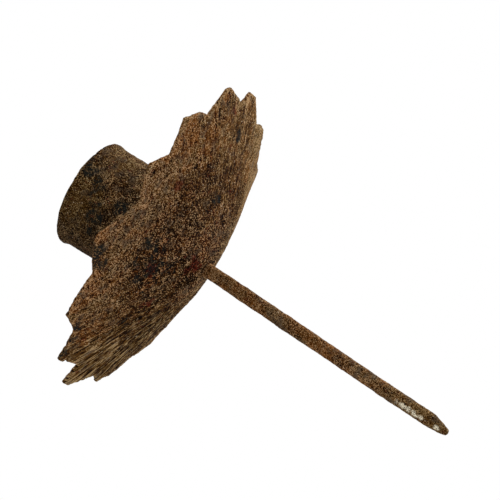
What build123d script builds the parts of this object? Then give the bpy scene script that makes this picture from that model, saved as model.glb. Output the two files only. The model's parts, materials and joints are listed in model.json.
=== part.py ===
"""Spiked candle holder of rusted wrought iron: a spike, a toothed drip pan and a candle cup.

The spike hangs along -Z below the pan. Its tenon passes up through the pan, the cup's floor and a
washer, and is hammered over inside the cup. The origin is the middle of the spike's shoulder,
just under the pan.
All lengths are in millimetres and all angles in degrees. Azimuths are counted from +X towards +Y.
"""

import os
from math import cos, radians, sin, tan

from build123d import *

os.makedirs("parts", exist_ok=True)

# Drip pan
pan_reach = 87.5  # radius at which the dish is pan_depth deep
pan_depth = 29.6
pan_rise_power = 1.12  # 1 is a plain cone, and more curls the rim upwards
pan_blank_radius = 92.0  # the round sheet before its edge is cut into teeth
sheet_thickness = 1.4  # measured straight up
seat_radius = 6.0  # flat middle that the spike's shoulder bears on
tip_rounding = 0.9
tip_from_radius = 79.0  # corners further out than this are tips, and are rounded

# Each tooth as (azimuth, radius) of the notch before it, its first corner and its last corner
teeth = [
    ((351, 80.0), (357.5, 86.0), (363, 86.0)),
    ((12.5, 76.0), (19.5, 80.0), (29, 84.5)),
    ((38, 74.0), (50, 86.0), (57, 86.0)),
    ((64, 77.0), (74, 86.5), (80, 85.0)),
    ((90, 77.5), (99, 85.5), (105, 87.5)),
    ((115, 76.0), (123, 85.5), (130, 85.0)),
    ((139, 75.5), (148, 85.0), (158, 83.5)),
    ((168, 77.0), (177, 86.5), (181, 86.5)),
    ((187.5, 75.5), (193, 77.5), (196, 79.5)),
    ((202, 75.5), (197.5, 81.5), (201, 83.5)),
    ((215.5, 75.0), (226, 82.0), (232, 79.5)),
    ((243.5, 73.0), (250, 77.5), (259, 83.0)),
    ((278.5, 70.5), (286.5, 78.5), (290.5, 82.0)),
    ((300, 76.0), (311.5, 86.0), (321.5, 82.0)),
    ((325.5, 78.5), (337.5, 87.0), (341, 87.5)),
]

# A short tear in the pan, close to the spike
tear_radius = 12.3
tear_azimuth = 212
tear_length = 4.4
tear_width = 1.4

# Candle cup, a rolled sheet that leans a little on the pan
cup_inner_radius = 26.0  # takes a candle about 51 across
cup_wall = 1.4
cup_height = 74.4  # along its own axis, from the pan's underside to the mouth
cup_foot_x = 3.0
cup_foot_y = -2.2
cup_lean_x = -2.1
cup_lean_y = 3.4
foot_turn_height = 11.0  # below this the wall turns outwards and down to the cup's floor
foot_turn_angle = 20
flare_height = 5.0
flare_growth = 0.9
flare_tangents = [(0, 1), (0.35, 1)]  # up the wall at its start, and a little outwards at the mouth
lip_rounding = 0.5

# The cup's seam: the sheet's outer end laps over the wall at the back, held by rivets
lap_azimuth = 90
lap_angle = 24
lap_thickness = 1.4
lap_height = 66.0
rivet_heights = (20.0, 40.0, 60.0)
rivet_radius = 1.5
rivet_head_radius = 2.7
rivet_head_height = 1.3

# Spike, with a slight bend at its shoulder
spike_length = 154.0
shank_radius = 3.8
point_length = 10.5
point_end_radius = 1.6
point_end_shift = -0.45  # the point is off the middle of the shank
point_rounding = 0.9
spike_lean = 0.9
tenon_radius = 2.5
hammered_head_radius = 4.6
hammered_head_height = 1.8
hammered_head_rounding = 1.2

# Floor under the cup, and the washer inside it
floor_thickness = 1.4
washer_radius = 5.8
washer_thickness = 1.4
washer_chamfer = 0.3
hole_clearance = 0.15
play = 0.04  # left between pieces that bear on each other

# Worked out from the dimensions above
cup_outer_radius = cup_inner_radius + cup_wall
foot_growth = foot_turn_height * tan(radians(foot_turn_angle))
flare_start = cup_height - flare_height
tenon_hole_radius = tenon_radius + hole_clearance
pan_height = shank_radius * tan(radians(spike_lean))  # the bent spike's shoulder touches at one side
floor_height = pan_height + sheet_thickness + play
floor_radius = cup_outer_radius + lap_thickness
above_floor = floor_height + floor_thickness + play
head_height = above_floor + washer_thickness + hammered_head_radius * tan(radians(spike_lean))


def polar(azimuth, radius):
    """A point of the pan's outline, seen from above."""
    return (radius * cos(radians(azimuth)), radius * sin(radians(azimuth)))


def dish_curve(height, outer_radius, count=7):
    """Points of the dish's curve from its flat seat outwards, with the seat at the given height."""
    radii = [seat_radius + (outer_radius - seat_radius) * i / (count - 1) for i in range(count)]
    rises = [(radius - seat_radius) / (pan_reach - seat_radius) for radius in radii]
    return [(radius, height + pan_depth * rise**pan_rise_power) for radius, rise in zip(radii, rises)]


# The cup's own frame: its axis leans, and starts beside the origin
cup_foot = Vector(cup_foot_x, cup_foot_y, 0)
cup_up = Vector(tan(radians(cup_lean_x)), tan(radians(cup_lean_y)), 1).normalized()
cup_axis = Axis(cup_foot, cup_up)


def outwards_from_cup(azimuth):
    """Unit vector square to the cup's axis."""
    return Vector(0, 1, 0).cross(cup_up).normalized().rotate(Axis((0, 0, 0), cup_up), azimuth)


def cup_half_plane(azimuth):
    """Plane of the cup's axis at an azimuth, with x outwards and y up the axis."""
    outwards = outwards_from_cup(azimuth)
    return Plane(origin=cup_foot, x_dir=outwards, z_dir=outwards.cross(cup_up))


# The spike's own frame: z runs up its axis
spike_up = Vector(sin(radians(spike_lean)), 0, cos(radians(spike_lean)))
spike_frame = Plane(origin=(0, 0, 0), x_dir=Vector(0, 1, 0).cross(spike_up), z_dir=spike_up)

# Drip pan: a dished sheet whose edge is cut into uneven teeth
with BuildPart() as drip_pan:
    with BuildSketch(Plane.XZ):
        with BuildLine():
            underside = Spline(*dish_curve(pan_height, pan_blank_radius))
            upper_side = Spline(*dish_curve(pan_height + sheet_thickness, pan_blank_radius))
            Line(underside @ 1, upper_side @ 1)
            Polyline(underside @ 0, (0, pan_height), (0, pan_height + sheet_thickness), upper_side @ 0)
        make_face()
    revolve(axis=Axis.Z)

    with BuildSketch() as outline:
        with BuildLine():
            Polyline(*[polar(*corner) for tooth in teeth for corner in tooth], close=True)
        make_face()
        tips = [corner for corner in outline.vertices() if Vector(corner).length > tip_from_radius]
        fillet(tips, radius=tip_rounding)
    extrude(amount=2 * pan_depth, mode=Mode.INTERSECT)

    with BuildSketch():
        Circle(tenon_hole_radius)
        with PolarLocations(tear_radius, 1, start_angle=tear_azimuth):
            SlotOverall(tear_length, tear_width)
    extrude(amount=pan_depth, mode=Mode.SUBTRACT)
drip_pan.part.label = "drip_pan"

# The room above the cup's floor, to which the foot of the wall is trimmed
with BuildPart() as room_above_floor:
    with BuildSketch(Plane.XZ):
        with BuildLine():
            dish = Spline(*dish_curve(above_floor, pan_blank_radius))
            ceiling = 2 * cup_height
            Polyline(dish @ 1, (pan_blank_radius, ceiling), (0, ceiling), (0, (dish @ 0).Y), dish @ 0)
        make_face()
    revolve(axis=Axis.Z)

# The seam's rivets: a shank flush with the inside of the cup, and a low domed head outside
with BuildPart() as seam_rivets:
    outwards = outwards_from_cup(lap_azimuth + lap_angle / 2)
    head_seat = cup_outer_radius + lap_thickness + play
    for height in rivet_heights:
        middle = cup_foot + cup_up * height
        with BuildSketch(Plane(origin=middle, x_dir=cup_up, z_dir=cup_up.cross(outwards))):
            with BuildLine():
                top = (0, head_seat + rivet_head_height)
                dome = TangentArc(top, (rivet_head_radius, head_seat), tangent=(1, 0))
                Polyline(dome @ 1, (rivet_radius, head_seat), (rivet_radius, cup_inner_radius),
                         (0, cup_inner_radius), top)
            make_face()
        revolve(axis=Axis(middle, outwards))
seam_rivets.part.label = "seam_rivets"

# Candle cup: a sheet rolled into a tube and lapped at the back, with a flared mouth and foot
with BuildPart() as candle_cup:
    with BuildSketch(cup_half_plane(0)):
        with BuildLine():
            bore = Line((cup_inner_radius, foot_turn_height), (cup_inner_radius, flare_start))
            mouth_radius = cup_inner_radius + flare_growth
            mouth = Line((mouth_radius, cup_height), (mouth_radius + cup_wall, cup_height))
            inner_flare = Spline(bore @ 1, mouth @ 0, tangents=flare_tangents)
            outer_flare = Spline((cup_outer_radius, flare_start), mouth @ 1, tangents=flare_tangents)
            Polyline(outer_flare @ 0, (cup_outer_radius, foot_turn_height),
                     (cup_outer_radius + foot_growth, 0), (cup_inner_radius + foot_growth, 0), bore @ 0)
        make_face()
    revolve(axis=cup_axis)
    fillet(candle_cup.edges().sort_by(cup_axis)[-2:], radius=lip_rounding)

    with BuildSketch(cup_half_plane(lap_azimuth)):
        with Locations((cup_outer_radius, 0)):
            Rectangle(lap_thickness, lap_height, align=Align.MIN)
    revolve(axis=cup_axis, revolution_arc=lap_angle)

    add(room_above_floor.part, mode=Mode.INTERSECT)
    add(seam_rivets.part, mode=Mode.SUBTRACT)
candle_cup.part.label = "candle_cup"

# Cup floor: a dished disc that nests in the pan and carries the cup's wall
with BuildPart() as cup_floor:
    with BuildSketch(Plane.XZ):
        with BuildLine():
            lower_side = Spline(*dish_curve(floor_height, pan_blank_radius))
            upper_side = Spline(*dish_curve(floor_height + floor_thickness, pan_blank_radius))
            Line(lower_side @ 1, upper_side @ 1)
            Polyline(lower_side @ 0, (tenon_hole_radius, floor_height),
                     (tenon_hole_radius, floor_height + floor_thickness), upper_side @ 0)
        make_face()
    revolve(axis=Axis.Z)
    with BuildSketch(Plane(origin=cup_foot, z_dir=cup_up)):
        Circle(floor_radius)
    extrude(amount=cup_height / 2, mode=Mode.INTERSECT)
cup_floor.part.label = "cup_floor"

# Washer under the hammered end of the tenon
with BuildPart() as clench_washer:
    with BuildSketch(Plane.XY.offset(above_floor)):
        Circle(washer_radius)
        Circle(tenon_hole_radius, mode=Mode.SUBTRACT)
    extrude(amount=washer_thickness)
    chamfer(clench_washer.faces().sort_by(Axis.Z)[-1].outer_wire().edges(), length=washer_chamfer)
clench_washer.part.label = "clench_washer"

# Spike: a round shank with a blunt point, a shoulder, and a tenon hammered over on the washer
with BuildPart() as spike:
    with BuildSketch(spike_frame.offset(point_length - spike_length)):
        Circle(shank_radius)
    extrude(amount=spike_length - point_length)

    with BuildSketch(spike_frame.offset(point_length - spike_length)):
        Circle(shank_radius)
    with BuildSketch(spike_frame.offset(-spike_length)):
        with Locations((point_end_shift, 0)):
            Circle(point_end_radius)
    loft()
    fillet(spike.edges().sort_by(Axis.Z)[0], radius=point_rounding)

    with BuildSketch(spike_frame):
        Circle(tenon_radius)
    extrude(amount=head_height + hammered_head_height)
    with BuildSketch(spike_frame.offset(head_height)):
        Circle(hammered_head_radius)
    extrude(amount=hammered_head_height)
    fillet(spike.faces().sort_by(Axis.Z)[-1].edges(), radius=hammered_head_rounding)
spike.part.label = "spike"

for piece in (spike, drip_pan, candle_cup, cup_floor, clench_washer, seam_rivets):
    export_step(piece.part, f"parts/{piece.part.label}.step")
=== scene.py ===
"""A rusted wrought-iron candle holder: a cup on a drip pan with a toothed edge, and a long spike below.

Each CAD node is replaced by a piece of the same shape that has the wear the node leaves out. Hammer marks,
lines scored towards the pan's rim, rust blisters and pits are moved into the meshes, and a procedural
material adds the grain of the rust. The pieces are shaped in millimetres and stored in metres. Azimuths are
in degrees from +X to +Y.
"""

import json
from math import cos, radians, sin

import bmesh
import bpy
import numpy as np
from mathutils import Matrix, Vector
from mathutils.geometry import delaunay_2d_cdt
from mathutils.kdtree import KDTree


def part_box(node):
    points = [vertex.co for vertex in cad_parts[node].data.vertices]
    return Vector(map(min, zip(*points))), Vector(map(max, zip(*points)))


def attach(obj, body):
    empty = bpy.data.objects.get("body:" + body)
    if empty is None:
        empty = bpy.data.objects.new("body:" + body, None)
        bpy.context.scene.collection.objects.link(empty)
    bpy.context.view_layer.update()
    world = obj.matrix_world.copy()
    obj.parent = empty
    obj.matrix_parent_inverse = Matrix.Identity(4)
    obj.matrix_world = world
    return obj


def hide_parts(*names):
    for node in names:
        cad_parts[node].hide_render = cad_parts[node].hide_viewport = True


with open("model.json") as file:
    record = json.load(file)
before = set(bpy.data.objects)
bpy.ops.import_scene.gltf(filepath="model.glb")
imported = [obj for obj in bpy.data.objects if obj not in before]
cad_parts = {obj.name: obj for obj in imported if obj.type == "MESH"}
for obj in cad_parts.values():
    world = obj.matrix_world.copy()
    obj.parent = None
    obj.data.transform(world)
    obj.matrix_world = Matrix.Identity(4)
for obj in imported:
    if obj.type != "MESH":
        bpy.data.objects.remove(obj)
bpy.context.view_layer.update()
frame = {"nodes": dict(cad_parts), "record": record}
mm = 0.001


# ---------------------------------------------------------------- camera

# The camera looks at the underside of the pan from the -Y side, and is rolled so that the spike points down
# and to the right
look_up = radians(19.5)  # angle of the view above the pan's plane
camera_roll_right = 0.5446  # how far +X points to the right in the picture
camera_roll_up = 0.8387  # and how far it points up
camera_distance = 8.0
view_width = 0.250  # width of the picture at the target
target_right = 0.0218  # from the spike's shoulder to the middle of the picture
target_up = 0.0091
target_along_x = 0.0005
sensor_width = 36.0
camera_reach = 60.0  # the furthest thing it shows

view_direction = Vector((0, cos(look_up), sin(look_up)))
pan_axis_in_view = Vector((0, -sin(look_up), cos(look_up)))
picture_right = camera_roll_right * Vector((1, 0, 0)) - camera_roll_up * pan_axis_in_view
picture_up = camera_roll_up * Vector((1, 0, 0)) + camera_roll_right * pan_axis_in_view
target = target_right * picture_right + target_up * picture_up + Vector((target_along_x, 0, 0))


def in_view_axes(right, up, towards_camera):
    """A point given from the target along the picture's right, its up, and towards the camera."""
    return target + right * picture_right + up * picture_up - towards_camera * view_direction


camera = bpy.data.objects.new("camera", bpy.data.cameras.new("camera"))
camera.data.sensor_width = sensor_width
camera.data.lens = sensor_width * camera_distance / view_width
camera.data.clip_end = camera_reach
turned = Matrix((picture_right, picture_up, -view_direction)).transposed().to_4x4()
camera.matrix_world = Matrix.Translation(in_view_axes(0, 0, camera_distance)) @ turned
bpy.context.scene.collection.objects.link(camera)
bpy.context.scene.camera = camera


# ---------------------------------------------------------------- repeatable noise over points

def hashed(cells, seed):
    """A repeatable number from 0 to 1 for each row of whole numbers."""
    mixed = np.full(len(cells), seed * 2654435761 + 12345, np.uint64)
    for column in cells.T:
        mixed = (mixed ^ column.astype(np.int64).view(np.uint64)) * np.uint64(0x9E3779B97F4A7C15)
        mixed ^= mixed >> np.uint64(31)
    return (mixed >> np.uint64(11)) / 2.0**53


def noise(points, cell, seed):
    """Smooth noise from -1 to 1, whose bumps are about one cell wide."""
    scaled = points / cell
    base = np.floor(scaled).astype(np.int64)
    part = scaled - base
    part = part * part * (3 - 2 * part)
    total = np.zeros(len(points))
    for corner in np.ndindex(*(2,) * points.shape[1]):
        weight = np.where(corner, part, 1 - part).prod(axis=1)
        total += weight * hashed(base + corner, seed)
    return 2 * total - 1


def fractal(points, cell, seed, octaves):
    """Noise with finer and weaker noise added to it."""
    return sum(0.55**i * noise(points, cell / 2**i, seed + i) for i in range(octaves))


def pits(points, cell, seed, share):
    """Round pits: 1 in their middles, 0 outside them. Share is the part of the cells that hold one."""
    scaled = points / cell
    base = np.floor(scaled).astype(np.int64)
    depth = np.zeros(len(points))
    for step in np.ndindex(*(3,) * points.shape[1]):
        near = base + step - 1
        middle = near + np.stack([hashed(near, seed + axis) for axis in range(points.shape[1])], axis=1)
        reach = 0.25 + 0.4 * hashed(near, seed + 5)
        inside = 1 - ((scaled - middle) ** 2).sum(axis=1) / reach**2
        depth = np.maximum(depth, np.where(hashed(near, seed + 6) < share, inside, 0))
    return depth


def ramp(values, start, end):
    """0 before start, 1 after end, and a smooth step between them."""
    part = np.clip((values - start) / (end - start), 0, 1)
    return part * part * (3 - 2 * part)


def lobe(azimuth, middle, half_width):
    """1 at the middle azimuth, falling smoothly to 0 half_width degrees away."""
    away = np.abs((azimuth - middle + 180) % 360 - 180)
    return 1 - ramp(away, 0, half_width)


# ---------------------------------------------------------------- rusted iron material

def srgb(red, green, blue):
    """Shader colour for a colour as a screen shows it, from 0 to 255."""
    parts = [value / 255 for value in (red, green, blue)]
    return (*[part / 12.92 if part <= 0.04045 else ((part + 0.055) / 1.055) ** 2.4 for part in parts], 1)


def add_node(tree, kind, inputs=(), **settings):
    """A new node with its settings and inputs. An input is a number, a colour or another node's output."""
    node = tree.nodes.new(kind)
    for name, value in settings.items():
        setattr(node, name, value)
    for socket, value in dict(inputs).items():
        if isinstance(value, bpy.types.NodeSocket):
            tree.links.new(value, node.inputs[socket])
        else:
            node.inputs[socket].default_value = value
    return node


# Colours of the rust at each tone, from the bottoms of the pits (0) to the palest crust (1)
rust_tones = (0.0, 0.2, 0.38, 0.52, 0.68, 0.84, 1.0)
brown_rust = [
    (12, 3, 0), (36, 14, 0), (65, 38, 8), (84, 56, 24), (98, 70, 36), (112, 84, 51), (162, 132, 98),
]
orange_rust = [
    (22, 5, 0), (50, 17, 0), (80, 40, 5), (99, 58, 19), (116, 70, 30), (132, 88, 48), (174, 134, 95),
]


def rusted_iron(name, grain_mm=(0.5, 0.5), contrast=1.0, brightness=0.0, relief_and_light_weight=1.0, bump_mm=0.4):
    """Rusted iron with the layers of wear, and of painted light and shade, that finish_piece() stores in
    the mesh.

    Grain_mm is the size of the rust's grain along X and along Y.
    """
    material = bpy.data.materials.new(name)
    material.use_nodes = True
    tree = material.node_tree
    shader = tree.nodes["Principled BSDF"]
    place = add_node(tree, "ShaderNodeTexCoord").outputs["Object"]

    def texture(scale, detail, roughness=0.6, at=place):
        inputs = {"Vector": at, "Scale": scale, "Detail": detail, "Roughness": roughness}
        return add_node(tree, "ShaderNodeTexNoise", inputs).outputs["Fac"]

    def layer(attribute):
        return add_node(tree, "ShaderNodeAttribute", attribute_name=attribute).outputs["Fac"]

    def math(operation, *values, clamp=False):
        return add_node(
            tree, "ShaderNodeMath", dict(enumerate(values)), operation=operation, use_clamp=clamp
        ).outputs[0]

    def mix(amount, below, above):
        inputs = {0: amount, 6: below, 7: above}
        return add_node(tree, "ShaderNodeMix", inputs, data_type="RGBA").outputs[2]

    def threshold(value, start, end):
        inputs = {0: value, 1: start, 2: end}
        return add_node(tree, "ShaderNodeMapRange", inputs, interpolation_type="SMOOTHSTEP").outputs[0]

    def blend(amount, first, second):
        return add_node(tree, "ShaderNodeMix", {0: amount, 2: first, 3: second}).outputs[0]

    def rust(tone, colours):
        node = add_node(tree, "ShaderNodeValToRGB", {"Fac": tone})
        stops = node.color_ramp.elements
        stops[0].color = srgb(*colours[0])
        stops[-1].color = srgb(*colours[-1])
        for position, between in zip(rust_tones[1:-1], colours[1:-1]):
            stops.new(position).color = srgb(*between)
        return node.outputs["Color"]

    # The grain is drawn out along the scored lines, whose places are stored stretched in the mesh
    drawn_out = add_node(tree, "ShaderNodeAttribute", attribute_name="drawn_out").outputs["Vector"]
    grain_scale = [1 / (size * mm) for size in (*grain_mm, grain_mm[0])]
    inputs = {0: place, 1: grain_scale}
    grain_place = add_node(tree, "ShaderNodeVectorMath", inputs, operation="MULTIPLY").outputs[0]
    grain = blend(layer("scored"), texture(1, 1, 0.6, at=grain_place), texture(800, 1, 0.6, at=drawn_out))
    crumbs = texture(800, 2, 0.7)
    mottle = texture(260, 3, 0.6)
    clouds = texture(42, 2, 0.5)

    # The strongest grains stand out from the others. The grain is weaker where the iron is smooth or
    # scored, and its strength varies from patch to patch.
    crumb_share = 0.25
    grain_middle = 0.5 + crumb_share / 2
    grain_part = math("SUBTRACT", math("MULTIPLY_ADD", crumbs, crumb_share, grain), grain_middle)
    growth = math("MULTIPLY_ADD", math("MULTIPLY", grain_part, grain_part), 120 * contrast, 2.8 * contrast)
    tone = math("MULTIPLY", grain_part, growth)
    tone = math("MULTIPLY", tone, math("MULTIPLY_ADD", layer("smooth"), -0.5, 1.0))
    tone = math("MULTIPLY", tone, math("MULTIPLY_ADD", layer("scored"), -0.2, 1.0))
    tone = math("MULTIPLY", tone, math("MULTIPLY_ADD", threshold(texture(150, 2), 0.38, 0.62), 0.7, 0.65))
    # Each other part raises the tone above its middle or lowers it
    for part, weight in ((mottle, 0.5), (clouds, 0.4), (layer("relief_and_painted_light"), relief_and_light_weight)):
        tone = math("ADD", math("MULTIPLY_ADD", part, weight, -0.5 * weight), tone)
    tone = math("ADD", tone, 0.5 + brightness)
    # Fresh orange rust, in patches of its own and where the mesh says, and an olive tint
    fresh = math("MULTIPLY_ADD", threshold(texture(110, 4, 0.8), 0.45, 0.6), 0.6, layer("orange"))
    fresh = math("MULTIPLY", fresh, math("MULTIPLY_ADD", layer("olive"), -0.8, 1.0), clamp=True)
    colour = mix(fresh, rust(tone, brown_rust), rust(tone, orange_rust))
    olive = mix(layer("olive"), (1, 1, 1, 1), (0.91, 0.99, 0.9, 1))
    inputs = {0: 1.0, 6: colour, 7: olive}
    colour = add_node(tree, "ShaderNodeMix", inputs, data_type="RGBA", blend_type="MULTIPLY").outputs[2]
    # Grey rust on the raised grain of small patches, and a few pale flecks that are painted glints
    grey = math("MULTIPLY", threshold(texture(170, 3), 0.52, 0.66), 0.7)
    colour = mix(math("MULTIPLY", grey, tone, clamp=True), colour, srgb(86, 74, 60))
    colour = mix(math("MULTIPLY", threshold(texture(900, 1), 0.7, 0.78), 0.7), colour, srgb(214, 188, 156))
    # Dark red rust
    red = math("MULTIPLY", threshold(texture(300, 2), 0.6, 0.7), threshold(grain, 0.45, 0.6))
    red = math("MULTIPLY", red, 0.65)
    red = math("MAXIMUM", red, math("MULTIPLY", layer("red"), threshold(grain, 0.4, 0.62)))
    colour = mix(red, colour, srgb(92, 25, 14))
    # Blue-black forge scale, and on the cup a dark band drawn in its colour
    scale = math("MULTIPLY", math("MULTIPLY", layer("scale"), 0.95), threshold(crumbs, 0.34, 0.54))
    colour = mix(scale, colour, srgb(18, 23, 22))
    # Iron rubbed bright
    bare = math("MULTIPLY", layer("bare"), threshold(grain, 0.38, 0.52))
    colour = mix(bare, colour, srgb(248, 236, 208))
    tree.links.new(colour, shader.inputs["Base Color"])

    roughness = math("MULTIPLY_ADD", crumbs, 0.35, 0.62)
    roughness = math("MULTIPLY_ADD", scale, -0.15, roughness)
    roughness = math("MULTIPLY_ADD", bare, -0.3, roughness, clamp=True)
    tree.links.new(roughness, shader.inputs["Roughness"])
    shader.inputs["Specular IOR Level"].default_value = 0.02

    height = math("MULTIPLY_ADD", crumbs, 0.8, grain)
    bump = add_node(tree, "ShaderNodeBump", {"Height": height, "Strength": 1.0, "Distance": bump_mm * mm})
    tree.links.new(bump.outputs["Normal"], shader.inputs["Normal"])
    return material


pan_iron = rusted_iron("drip_pan_iron", grain_mm=(0.65, 0.8), contrast=1.55, brightness=-0.19)
cup_iron = rusted_iron("candle_cup_iron", contrast=1.7, brightness=-0.2)
spike_iron = rusted_iron("spike_iron", contrast=0.9, brightness=0.12, relief_and_light_weight=0.6)
inside_iron = rusted_iron("inside_iron", brightness=-0.05)


# ---------------------------------------------------------------- pieces

def finish_piece(node, mesh, material, layers):
    """Puts a mesh in the scene in place of a CAD node, with its layers of wear, and of painted light and
    shade, for the material.
    """
    mesh.polygons.foreach_set("use_smooth", np.ones(len(mesh.polygons), bool))
    for name in ("relief_and_painted_light", "smooth", "scored", "olive", "orange", "red", "scale", "bare"):
        values = layers.get(name, 0.5 if name == "relief_and_painted_light" else 0.0)
        values = np.broadcast_to(np.clip(values, 0, 1), len(mesh.vertices)).astype(np.float32)
        mesh.attributes.new(name, "FLOAT", "POINT").data.foreach_set("value", values)
    if "drawn_out" in layers:
        values = (layers["drawn_out"] * mm).astype(np.float32).ravel()
        mesh.attributes.new("drawn_out", "FLOAT_VECTOR", "POINT").data.foreach_set("vector", values)
    mesh.materials.clear()
    mesh.materials.append(material)
    piece = bpy.data.objects.new(f"{node}_rusted", mesh)
    bpy.context.scene.collection.objects.link(piece)
    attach(piece, "root")
    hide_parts(node)


def even_mesh(node, voxel_mm):
    """(mesh, points, normals) of a CAD node cut into even squares, with the points in millimetres."""
    source = bpy.data.objects.new(f"{node}_source", frame["nodes"][node].data.copy())
    bpy.context.scene.collection.objects.link(source)
    remesh = source.modifiers.new("remesh", "REMESH")
    remesh.mode = "VOXEL"
    remesh.voxel_size = voxel_mm * mm
    remesh.adaptivity = 0
    evaluated = source.evaluated_get(bpy.context.evaluated_depsgraph_get())
    mesh = bpy.data.meshes.new_from_object(evaluated)
    mesh.name = f"{node}_rusted"
    bpy.data.objects.remove(source)
    points = np.zeros(3 * len(mesh.vertices), np.float32)
    mesh.vertices.foreach_get("co", points)
    normals = np.zeros(3 * len(mesh.vertices), np.float32)
    mesh.vertices.foreach_get("normal", normals)
    return mesh, points.reshape(-1, 3).astype(float) / mm, normals.reshape(-1, 3).astype(float)


def set_points(mesh, points):
    """Moves the mesh to new points, which are in millimetres."""
    mesh.vertices.foreach_set("co", (points * mm).astype(np.float32).ravel())
    mesh.update()


def patches(points, spots, breakup_mm, seed):
    """1 inside the spots and 0 outside them, with a ragged border. Each spot is (x, y, ..., radius)."""
    ragged = 0.7 * fractal(points, breakup_mm, seed, 2)
    inside = np.zeros(len(points))
    for *middle, radius in spots:
        away = np.linalg.norm(points - middle, axis=1) / radius
        inside = np.maximum(inside, ramp(1.25 - away + ragged, 0.1, 0.7))
    return inside


# ---------------------------------------------------------------- drip pan

pan_spacing_mm = 0.5  # between points along the edge and round each ring
ring_spacing_mm = 0.8
upper_coarseness = 1.5  # the upper side's points are this much further apart
edge_margin_mm = 0.35  # no other point comes nearer to the edge
pale_edge_wear_and_highlight_mm = (0.4, 1.9)  # the edge is pale to the first distance and not at all from the second: wear and a painted highlight
calm_seat_mm = (4.5, 9.0)  # the wear fades out from the second radius to the first
line_spacing_mm = 2.0
line_length_mm = 220.0
covered_by_cup_mm = (31.0, 38.0)  # inside this the pan keeps its place under the cup's floor
split_corner_mm = 0.002  # corners of the CAD mesh closer than this are one corner
fan_radius_mm = 80.0  # the drawn-out grain has its own width at this radius, and is narrower further in
fan_stretch = 0.3  # in the middle of the pan the grain is 1 / 0.3 as long as it is wide
fan_doubling_mm = 42.0  # and at this radius it is twice as long as that for its width

# Marks on the underside, as (x, y, radius) in millimetres
pan_scale_marks = [
    (-4, -50, 4), (-11, -42, 3.5), (-23, -40, 3.5), (-22, -74, 4), (-26, -68, 4), (33, -16, 3.5),
    (65, -8, 3.5), (-60, -46, 4), (-44, -20, 3), (-67, -40, 3), (-75, -33, 3),
]
pan_orange_marks = [
    (49, -56, 10), (57, -38, 9), (37, -68, 7), (78, -33, 4), (-39, -63, 12), (-59, -38, 11),
    (-6, -39, 4), (52, 22, 6), (8, -13, 7), (-13, -80, 5),
]
pan_red_marks = [(-15, -36, 4), (-1, -13, 5), (-30, -19, 3), (28, -51, 3), (74, -21, 2.5)]
pan_blisters = [(-14, -35, 12), (-2, -44, 7)]
# These change the tone alone
pan_pale_marks = [(-6, -2, 2.5), (-29, -9, 2), (-9, 17, 6), (-13, -80, 3)]
pan_shaded_marks = [(10, -36, 26), (-20, -45, 18)]
pan_dark_marks = [(-1, -12, 4), (-8, -7.5, 3.5), (-15, -37, 6), (-8, -43, 5), (-2, -24, 4)]


def joined_surface(node):
    """bmesh of a CAD node in which the split corners are joined again."""
    surface = bmesh.new()
    surface.from_mesh(frame["nodes"][node].data)
    bmesh.ops.remove_doubles(surface, verts=surface.verts, dist=split_corner_mm * mm)
    surface.normal_update()
    return surface


def dish_profile(surface, side):
    """Radii and heights of the pan's upper side (side is 1) or underside (side is -1), in millimetres."""
    corners = {v for f in surface.faces if f.normal.z * side > 0.5 for v in f.verts}
    co = np.array([v.co for v in corners]) / mm
    radii = np.round(np.hypot(co[:, 0], co[:, 1]), 1)
    steps = np.unique(radii)
    return steps, np.array([co[radii == step, 2].mean() for step in steps])


def edge_loops(surface):
    """The underside's edges as closed rows of (x, y) in millimetres: the outer one first, anticlockwise."""
    near = {}
    for edge in surface.edges:
        slopes = sorted(face.normal.z for face in edge.link_faces)
        if len(slopes) == 2 and slopes[0] < -0.5 < slopes[1] < 0.5:
            for start, end in (edge.verts, reversed(edge.verts)):
                near.setdefault(start, []).append(end)
    loops = []
    while near:
        loop = [next(iter(near))]
        while near.get(loop[-1]):
            ends = near.pop(loop[-1])
            step = next((v for v in ends if v in near), None)
            if step is None:
                break
            loop.append(step)
        loops.append(np.array([v.co.xy for v in loop]) / mm)
    loops.sort(key=len_of_loop, reverse=True)
    return [loop if (area_of_loop(loop) > 0) == (i == 0) else loop[::-1] for i, loop in enumerate(loops)]


def len_of_loop(loop):
    """Length of a closed row of points."""
    return np.linalg.norm(np.roll(loop, -1, axis=0) - loop, axis=1).sum()


def area_of_loop(loop):
    """Area inside a closed row of points, less than 0 if the row runs clockwise."""
    following = np.roll(loop, -1, axis=0)
    return (loop[:, 0] * following[:, 1] - loop[:, 1] * following[:, 0]).sum() / 2


def evenly_spaced(loop, spacing):
    """The same closed row with points at even distances."""
    closed = np.vstack([loop, loop[:1]])
    along = np.r_[0, np.cumsum(np.linalg.norm(np.diff(closed, axis=0), axis=1))]
    places = np.linspace(0, along[-1], max(8, round(along[-1] / spacing)), endpoint=False)
    return np.stack([np.interp(places, along, closed[:, axis]) for axis in (0, 1)], axis=1)


def inside_loop(points, loop):
    """Which points lie inside a closed row."""
    x, y = points.T
    inside = np.zeros(len(points), bool)
    for (ax, ay), (bx, by) in zip(loop, np.roll(loop, -1, axis=0)):
        if ay != by:
            crosses = (ay > y) != (by > y)
            inside ^= crosses & (x < (bx - ax) * (y - ay) / (by - ay) + ax)
    return inside


def distances(points, edge):
    """How far each point is from the nearest of the edge's points."""
    tree = KDTree(len(edge))
    for i, (x, y) in enumerate(edge):
        tree.insert((x, y, 0), i)
    tree.balance()
    return np.array([tree.find((x, y, 0))[2] for x, y in points])


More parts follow.
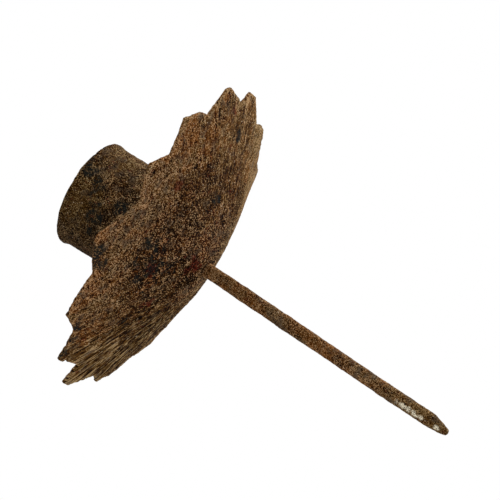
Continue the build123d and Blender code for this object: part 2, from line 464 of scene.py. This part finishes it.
def filled(loops, coarseness):
    """(points, triangles) that fill the pan's outline and keep its holes. The loops' points come first."""
    edge = np.vstack(loops)
    inner = np.hypot(*loops[1].T).max()
    outer = np.hypot(*loops[0].T).max()
    rng = np.random.default_rng(5)
    rings = []
    for radius in np.arange(inner, outer, ring_spacing_mm * coarseness):
        count = int(2 * np.pi * radius / (pan_spacing_mm * coarseness))
        angles = 2 * np.pi * (np.arange(count) + rng.uniform(-0.25, 0.25, count) + rng.random()) / count
        radii = radius + rng.uniform(-0.25, 0.25, count) * ring_spacing_mm * coarseness
        rings.append(np.stack([radii * np.cos(angles), radii * np.sin(angles)], axis=1))
    fill = np.vstack(rings)
    fill = fill[inside_loop(fill, loops[0])]
    fill = fill[distances(fill, edge) > edge_margin_mm * coarseness]
    for hole in loops[1:]:
        fill = fill[~inside_loop(fill, hole)]
    points = np.vstack([edge, fill])

    sides = []
    start = 0
    for loop in loops:
        numbers = start + np.arange(len(loop))
        sides += list(zip(numbers.tolist(), np.roll(numbers, -1).tolist()))
        start += len(loop)
    made, _, triangles, *_ = delaunay_2d_cdt([Vector(p) for p in points], sides, [], 1, 1e-5)
    triangles = np.array(triangles)
    points = np.array(made)
    middles = points[triangles].mean(axis=1)
    for hole in loops[1:]:
        close = np.flatnonzero(np.hypot(*(middles - hole.mean(axis=0)).T) < len_of_loop(hole))
        within = close[inside_loop(middles[close], hole)]
        triangles = np.delete(triangles, within, axis=0)
        middles = np.delete(middles, within, axis=0)
    return points, triangles


surface = joined_surface("drip_pan")
under_radii, under_heights = dish_profile(surface, -1)
upper_radii, upper_heights = dish_profile(surface, 1)
loops = [evenly_spaced(loop, pan_spacing_mm) for loop in edge_loops(surface)]
surface.free()


def frayed(loop):
    """The outline with the small nicks that rust leaves in it."""
    along = np.roll(loop, -1, axis=0) - np.roll(loop, 1, axis=0)
    outwards = np.stack([along[:, 1], -along[:, 0]], axis=1) / np.linalg.norm(along, axis=1)[:, None]
    return loop + outwards * (0.22 * fractal(loop, 2.6, 3, 2))[:, None]


loops[0] = frayed(loops[0])


def dish(points, side):
    """Places and normals on the pan's underside (side is -1) or upper side (side is 1)."""
    radius = np.hypot(*points.T)
    radii, heights = (upper_radii, upper_heights) if side > 0 else (under_radii, under_heights)
    height = np.interp(radius, radii, heights)
    slope = (np.interp(radius + 1, radii, heights) - np.interp(radius - 1, radii, heights)) / 2
    outwards = points / radius[:, None]
    normals = side * np.column_stack([-slope[:, None] * outwards, np.ones(len(points))])
    return np.column_stack([points, height]), normals / np.linalg.norm(normals, axis=1)[:, None]


def bends(points):
    """How far the whole sheet is bent up or down, most of all in the teeth."""
    radius = np.hypot(*points.T)
    around = points / radius[:, None] * 6
    teeth = ramp(radius, 66, 86) * noise(around, 1.6, 21)
    return ramp(radius, *covered_by_cup_mm) * (0.5 * fractal(points, 26, 22, 2) + 0.9 * teeth)


def drawn_out(points):
    """Places for a texture whose round grains come out drawn towards the rim, and more so near it."""
    radius = np.hypot(*points.T)
    towards_rim = fan_stretch * np.log(radius / np.hypot(1, radius / fan_doubling_mm))
    return fan_radius_mm * np.column_stack([points / radius[:, None], towards_rim])


def scoring(points):
    """How strongly the sheet is scored, from 0 to 1: most on the -X side, and less on the +X side."""
    radius = np.hypot(*points.T)
    azimuth = np.degrees(np.arctan2(points[:, 1], points[:, 0]))
    return np.maximum(lobe(azimuth, 162, 85), 0.35 * lobe(azimuth, 350, 80)) * ramp(radius, 16, 36)


def scored(points):
    """Lines scored towards the rim, 1 in their bottoms."""
    radius = np.hypot(*points.T)
    azimuth = np.degrees(np.arctan2(points[:, 1], points[:, 0]))
    wander = np.radians(azimuth + 0.7 * noise(points, 18, 31) + 0.15 * noise(points, 5, 32))
    lines = 0
    for degrees_apart, seed in ((5, 33), (3.3, 34), (2.2, 35), (1.5, 36)):
        turn = 180 / np.pi / degrees_apart
        stretched = np.column_stack([turn * np.cos(wander), turn * np.sin(wander), radius / line_length_mm])
        right_density = np.clip(1.25 - 2 * np.abs(np.log(radius / turn / line_spacing_mm)), 0, 1)
        line = 1 - np.clip(np.abs(noise(stretched, 1, seed)) / 0.42, 0, 1)
        lines = np.maximum(lines, right_density * line)
    return lines * scoring(points)


def sheet_wear(points, side):
    """(height of the wear in millimetres, relief from 0 in the pits to 1 on the ridges, plus painted light
    and shade).
    """
    radius = np.hypot(*points.T)
    seed = 50 if side < 0 else 70
    middle = 1 - ramp(radius, 25, 62)
    lumps = fractal(points, 3.2, seed, 3) * (0.8 + 0.5 * middle)
    fine = noise(points, 1.2, seed + 10)
    crowded = 0.2 + 0.4 * middle
    holes = pits(points, 2.1, seed + 20, crowded)
    facets = fractal(points, 13, seed + 30, 2)
    rough = 1 + 1.1 * patches(points, pan_blisters, 5, 90) * (side < 0)
    crumbs = pits(points, 2.6, seed + 60, 0.05)
    deep = pits(points, 3.2, seed + 80, 0.03 + 0.06 * middle)
    height = 0.12 + 0.2 * facets + rough * (0.15 * lumps + 0.06 * fine - 0.28 * holes)
    height = height + 0.2 * crumbs - 0.3 * deep
    relief_and_painted_light = 0.5 + rough * (0.1 * lumps + 0.22 * fine - 0.36 * holes) + 0.9 * crumbs - 0.5 * deep
    if side < 0:
        lines = scored(points)
        height = height - 0.3 * lines + 0.1
        # On the underside, paler towards the rim and towards the +X +Y side is painted light, and the
        # shaded marks are painted shade
        relief_and_painted_light = relief_and_painted_light + 0.28 * scoring(points) - 0.62 * lines + 0.25 * ramp(radius, 45, 65)
        relief_and_painted_light = relief_and_painted_light + 0.36 * ramp(points[:, 1], 10, 42) * ramp(points[:, 0], -10, 30)
        relief_and_painted_light = relief_and_painted_light - 0.1 * patches(points, pan_shaded_marks, 14, 66)
        relief_and_painted_light = relief_and_painted_light + 0.6 * patches(points, pan_pale_marks, 2, 64)
        relief_and_painted_light = relief_and_painted_light - 0.42 * patches(points, pan_dark_marks, 2, 65)
    return height * ramp(radius, *calm_seat_mm), relief_and_painted_light


def side_of_pan(points, side):
    """(places, relief with painted light and shade) of one side of the worn pan."""
    places, normals = dish(points, side)
    height, relief_and_painted_light = sheet_wear(points, side)
    if side > 0:
        height = height * ramp(np.hypot(*points.T), *covered_by_cup_mm)
    places = places + normals * height[:, None]
    places[:, 2] += bends(points)
    # The edge is paler, from wear and from a painted highlight along the cut edge
    edge_wear_and_highlight = 1 - ramp(distances(points, loops[0]) + 0.5 * noise(points, 2.2, 81), *pale_edge_wear_and_highlight_mm)
    return places, relief_and_painted_light + 0.4 * edge_wear_and_highlight


under_flat, under_faces = filled(loops, 1.0)
upper_flat, upper_faces = filled(loops, upper_coarseness)
under, under_relief_and_light = side_of_pan(under_flat, -1)
upper, upper_relief_and_light = side_of_pan(upper_flat, 1)

# The cut edge joins the two sides by a middle row that is worn round
edge_count = sum(len(loop) for loop in loops)
middle_row = (under[:edge_count] + upper[:edge_count]) / 2
walls = []
start = 0
for loop in loops:
    numbers = start + np.arange(len(loop))
    following = np.roll(numbers, -1)
    along = middle_row[following] - middle_row[np.roll(numbers, 1)]
    outwards = np.column_stack([along[:, 1], -along[:, 0], 0 * along[:, 0]])
    outwards /= np.linalg.norm(outwards, axis=1)[:, None]
    middle_row[numbers] += outwards * (0.22 + 0.12 * noise(middle_row[numbers], 1.5, 41))[:, None]
    walls.append(np.column_stack([numbers, following, following, numbers]))
    start += len(loop)
walls = np.vstack(walls)
row_start = len(under)
upper_start = row_start + edge_count
lower_walls = walls + [0, 0, row_start, row_start]
upper_walls = walls + [row_start, row_start, upper_start, upper_start]

pan_points = np.vstack([under, middle_row, upper])
pan_faces = [*under_faces[:, ::-1].tolist(), *lower_walls.tolist(), *upper_walls.tolist()]
pan_faces += (upper_faces + upper_start).tolist()
pan_mesh = bpy.data.meshes.new("drip_pan_rusted")
pan_mesh.from_pydata(pan_points * mm, [], pan_faces)
is_under = np.arange(len(pan_points)) < row_start + edge_count
flat = pan_points[:, :2]
# The cut edge's middle row is pale, from wear and from a painted highlight
pan_relief_and_light = np.r_[under_relief_and_light, 0.9 + 0.3 * noise(middle_row, 1.2, 82), upper_relief_and_light]
# The blistered patch has orange crests and blue-black hollows
blistered = is_under * patches(flat, pan_blisters, 5, 90)
crests = blistered * ramp(pan_relief_and_light, 0.35, 0.6)
hollows = blistered * ramp(-pan_relief_and_light, -0.25, 0.05)
finish_piece("drip_pan", pan_mesh, pan_iron, {
    "relief_and_painted_light": pan_relief_and_light,
    "scored": is_under * scoring(flat),
    "smooth": np.where(is_under, 0.6 * ramp(flat[:, 0], 10, 45), 1.0),
    "olive": is_under * np.maximum(0.9 * scoring(flat), 0.6 * ramp(flat[:, 1], 0, 20)),
    "drawn_out": drawn_out(flat),
    "orange": np.maximum(is_under * 0.8 * patches(flat, pan_orange_marks, 4, 61), crests),
    "red": is_under * 0.8 * patches(flat, pan_red_marks, 2, 62),
    "scale": np.maximum(is_under * patches(flat, pan_scale_marks, 3, 63), hollows),
})


# ---------------------------------------------------------------- candle cup

cup_voxel_mm = 0.55
half_wall_mm = 0.7
smooth_middle_mm = (-6, 68)  # the smoother brown patch near the mouth on the -Y side, in X and Z
smooth_reach_mm = (14, 13)
lesser_smooth_marks = [(24, -12, 71, 7), (23, -15, 60, 8)]  # these and the others are (x, y, z, radius)
# Painted shade on the cup's near side, just above where the pan's edge passes in front of it
cup_painted_shade_marks = [(-6, -26, 46, 8), (-20, -16, 48, 7), (9, -26, 46, 6)]
# A dark band down the cup's near side, from the mouth towards the pan, drawn in the scale's blue-black
cup_dark_band_marks = [
    (11, -24, 74, 4), (9, -25, 70, 4), (8, -26, 65.5, 4), (5, -27, 61, 4), (-3, -27, 58, 4),
    (-6, -26, 55.5, 4), (-11, -25, 54, 4.5), (-16, -22, 54, 4), (2, -28, 46, 4.5),
]

socket = next(mount for mount in frame["record"]["mounts"] if mount["name"] == "candle_socket")
cup_axis = np.array(socket["axis"])
cup_middle = np.array(socket["pos_m"]) / mm
cup_radius_mm = socket["dims"]["r_mm"]

cup_mesh, points, normals = even_mesh("candle_cup", cup_voxel_mm)
from_middle = points - cup_middle
along_cup = from_middle @ cup_axis
square = from_middle - along_cup[:, None] * cup_axis
is_outside = (np.linalg.norm(square, axis=1) > cup_radius_mm + half_wall_mm) * 1.0
away = np.hypot(*((points[:, [0, 2]] - smooth_middle_mm) / smooth_reach_mm).T)
smooth = ramp(1.25 - away, 0, 0.5) * (points[:, 1] < 0)
smooth = np.maximum(smooth, 0.8 * patches(points, lesser_smooth_marks, 6, 142))
rough = 1 - 0.7 * smooth
lumps = fractal(points, 4.0, 101, 3)
fine = noise(points, 1.2, 111)
holes = pits(points, 2.3, 121, 0.45)
facets = fractal(points, 15, 131, 2)
height = 0.3 * facets + rough * (0.16 * lumps + 0.07 * fine - 0.28 * holes)
set_points(cup_mesh, points + normals * height[:, None])
# The painted shade darkens the cup's tone there
painted_shade = patches(points, cup_painted_shade_marks, 4, 143)
finish_piece("candle_cup", cup_mesh, cup_iron, {
    "relief_and_painted_light": 0.5 + rough * (0.12 * lumps + 0.15 * fine - 0.3 * holes) + 0.14 * smooth - 0.25 * painted_shade,
    "smooth": smooth,
    "olive": 0.5 + 0.5 * smooth,
    "scale": is_outside * patches(points, cup_dark_band_marks, 4, 141),
})


# ---------------------------------------------------------------- spike

spike_voxel_mm = 0.4
rubbed_side = np.array([-0.47, -0.88, 0])  # the way that the bright streaks face
# The bright streaks, as (distance of the middle from the tip, half length)
rubbed_streaks = [(26, 6), (19, 4), (14.5, 3), (5.5, 2)]

shank = next(mount for mount in frame["record"]["mounts"] if mount["name"] == "spike_shank")
down = np.array(shank["axis"])
tip_distance = -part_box("spike")[0].z / mm

spike_mesh, points, normals = even_mesh("spike", spike_voxel_mm)
along_spike = points @ down
square = points - along_spike[:, None] * down
facing = square @ rubbed_side / np.maximum(np.linalg.norm(square, axis=1), 0.1)
lumps = fractal(points, 3.4, 201, 3)
fine = noise(points, 1.0, 211)
holes = pits(points, 1.7, 221, 0.4)
facets = fractal(points * [1, 1, 0.4], 5, 231, 2)
calm = ramp(along_spike, 0.3, 3)
height = calm * (0.16 * facets + 0.12 * lumps + 0.05 * fine - 0.2 * holes)
set_points(spike_mesh, points + normals * height[:, None])
from_tip = tip_distance - along_spike
streaks = np.zeros(len(points))
for middle, half_length in rubbed_streaks:
    streaks = np.maximum(streaks, 1 - ramp(np.abs(from_tip - middle), 0.4 * half_length, half_length))
streaks *= ramp(facing + 0.1 * noise(points, 1.6, 241), 0.92, 0.995)
finish_piece("spike", spike_mesh, spike_iron, {
    "relief_and_painted_light": 0.5 + 0.2 * lumps + 0.2 * fine - 0.45 * holes,
    "orange": 0.35 + 0.5 * fractal(points, 7, 251, 2),
    "olive": 0.1 + 0.8 * (1 - ramp(from_tip, 20, 50)),
    "bare": streaks,
})


# ---------------------------------------------------------------- cup's floor, washer and rivets

# As (node, size of the mesh's squares, strength of the wear)
small_pieces = [("cup_floor", 0.5, 0.1), ("clench_washer", 0.25, 0.05), ("seam_rivets", 0.25, 0.1)]

for node, voxel_mm, wear_mm in small_pieces:
    mesh, points, normals = even_mesh(node, voxel_mm)
    lumps = fractal(points, 2.8, 301, 3)
    holes = pits(points, 1.8, 311, 0.4)
    set_points(mesh, points + normals * (wear_mm * (lumps - holes))[:, None])
    finish_piece(node, mesh, inside_iron, {"relief_and_painted_light": 0.5 + 0.25 * lumps - 0.4 * holes})


# ---------------------------------------------------------------- floor and light

floor_height = -3.1  # lower than the camera, which looks up at the pan
floor_size = 160.0

floor_mesh = bpy.data.meshes.new("floor")
half = floor_size / 2
corners = [(-half, -half, 0), (half, -half, 0), (half, half, 0), (-half, half, 0)]
floor_mesh.from_pydata(corners, [], [(0, 1, 2, 3)])
floor_paint = bpy.data.materials.new("floor_paint")
floor_paint.use_nodes = True
floor_paint.node_tree.nodes["Principled BSDF"].inputs["Base Color"].default_value = srgb(236, 235, 233)
floor_paint.node_tree.nodes["Principled BSDF"].inputs["Roughness"].default_value = 0.9
floor_mesh.materials.append(floor_paint)
floor = bpy.data.objects.new("floor", floor_mesh)
floor.location.z = floor_height
bpy.context.scene.collection.objects.link(floor)


def area_light(name, place, size, power):
    """A square soft light that shines at the object."""
    light = bpy.data.objects.new(name, bpy.data.lights.new(name, "AREA"))
    light.data.size = size
    light.data.energy = power
    light.location = place
    light.rotation_mode = "QUATERNION"
    light.rotation_quaternion = (target - place).to_track_quat("-Z", "Y")
    bpy.context.scene.collection.objects.link(light)


area_light("key", in_view_axes(0.8, 0.5, -0.45), size=0.6, power=15)
area_light("fill", in_view_axes(0.2, -0.9, 0.2), size=0.8, power=5)
area_light("front", in_view_axes(-0.3, 0.75, 0.6), size=0.8, power=5)
area_light("top", Vector((0.2, 0.4, 1.2)), size=1.0, power=8)

surround_in_front = 0.26  # strength of the white surround on the camera's side
surround_behind = 0.62  # and behind the object

world = bpy.data.worlds.new("studio")
bpy.context.scene.world = world
world.use_nodes = True
tree = world.node_tree
direction = add_node(tree, "ShaderNodeTexCoord").outputs["Generated"]
inputs = {0: direction, 1: view_direction}
towards_back = add_node(tree, "ShaderNodeVectorMath", inputs, operation="DOT_PRODUCT").outputs["Value"]
inputs = {0: towards_back, 1: -1.0, 2: 1.0, 3: surround_in_front, 4: surround_behind}
studio = add_node(tree, "ShaderNodeMapRange", inputs)
# It is plain white where the camera sees it
seen = add_node(tree, "ShaderNodeLightPath").outputs["Is Camera Ray"]
strength = add_node(tree, "ShaderNodeMath", {0: studio.outputs[0], 1: seen}, operation="MAXIMUM").outputs[0]
background = tree.nodes["Background"]
background.inputs["Color"].default_value = (1, 1, 1, 1)
tree.links.new(strength, background.inputs["Strength"])
bpy.context.scene.view_settings.view_transform = "Standard"
